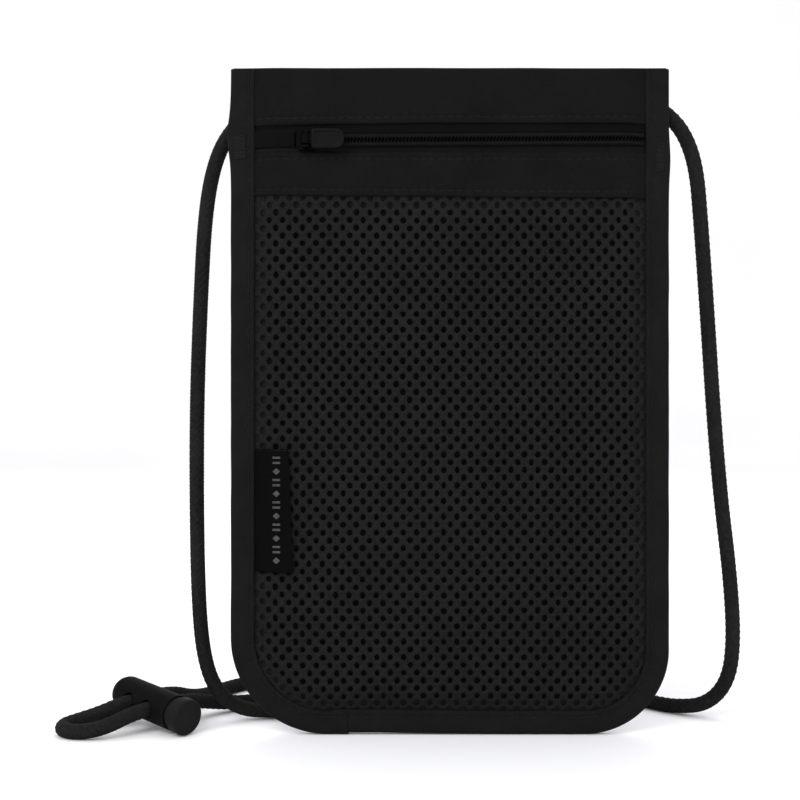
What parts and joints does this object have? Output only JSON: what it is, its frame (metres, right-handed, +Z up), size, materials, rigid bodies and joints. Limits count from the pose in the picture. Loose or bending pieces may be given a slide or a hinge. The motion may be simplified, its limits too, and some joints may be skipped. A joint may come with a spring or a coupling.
{
  "type": "neck pouch wallet",
  "caption": "Flat neck pouch wallet with a mesh front, a zipped compartment, bound edges, and a braided neck cord doubled through a barrel cord lock.",
  "frame": {"origin": "middle of the pouch's bottom edge, half way through its thickness", "axes": "+Z up along the pouch towards its top fold, +Y from its front to its back, +X to the right seen from the front"},
  "size_m": [0.2316, 0.0818, 0.22],
  "materials": {
    "nylon_shell": "plain woven nylon, matt",
    "spacer_mesh": "knitted spacer mesh",
    "lining": "thin woven lining",
    "zipper_tape": "herringbone woven tape",
    "zipper_coil": "nylon coil",
    "slider_metal": "black lacquered die-cast zinc",
    "puller_rubber": "soft moulded grip",
    "binding_tape": "ribbed binding tape",
    "label_woven": "damask woven label",
    "thread": "polyester thread",
    "cord_braid": "round braided cord",
    "lock_plastic": "satin moulded plastic",
    "spring_steel": "plain steel wire"
  },
  "bodies": {
    "pouch": {"shell_panel": "nylon_shell", "lower_band": "nylon_shell", "mesh_panel": "spacer_mesh", "lining_back": "lining", "lining_front": "lining", "zipper_tape_upper": "zipper_tape", "zipper_tape_lower": "zipper_tape", "zipper_coil_upper": "zipper_coil", "zipper_coil_lower": "zipper_coil", "zipper_end_tab": "nylon_shell", "binding_left": "binding_tape", "binding_right": "binding_tape", "side_label": "label_woven", "bartack_left": "thread", "bartack_right": "thread", "neck_cord": "cord_braid"},
    "slider": {"slider_body": "slider_metal"},
    "puller": {"puller_link": "slider_metal", "puller_grip": "puller_rubber"},
    "lock": {"cord_lock_body": "lock_plastic", "cord_lock_spring": "spring_steel"},
    "lock_button": {"cord_lock_button": "lock_plastic"}
  },
  "joints": [
    {"name": "zip_slide", "type": "slide", "parent": "pouch", "child": "slider", "axis": [1, 0, 0], "range_m": [0, 0.102], "deforming": ["zipper_tape_upper", "zipper_tape_lower", "zipper_coil_upper", "zipper_coil_lower"]},
    {"name": "puller_flip", "type": "hinge", "parent": "slider", "child": "puller", "pos_m": [-0.0473, -0.0056, 0.1956], "axis": [0, 0, -1], "range_deg": [0, 168]},
    {"name": "lock_slide", "type": "slide", "parent": "pouch", "child": "lock", "axis": [0.6408, 0.7677, 0], "range_m": [0, 0.006]},
    {"name": "lock_press", "type": "slide", "parent": "lock", "child": "lock_button", "axis": [-0.7635, 0.6374, 0.1041], "range_m": [0, 0.0016], "stiffness_N_per_m": 600, "springref_m": -0.002, "deforming": ["cord_lock_spring"]}
  ]
}
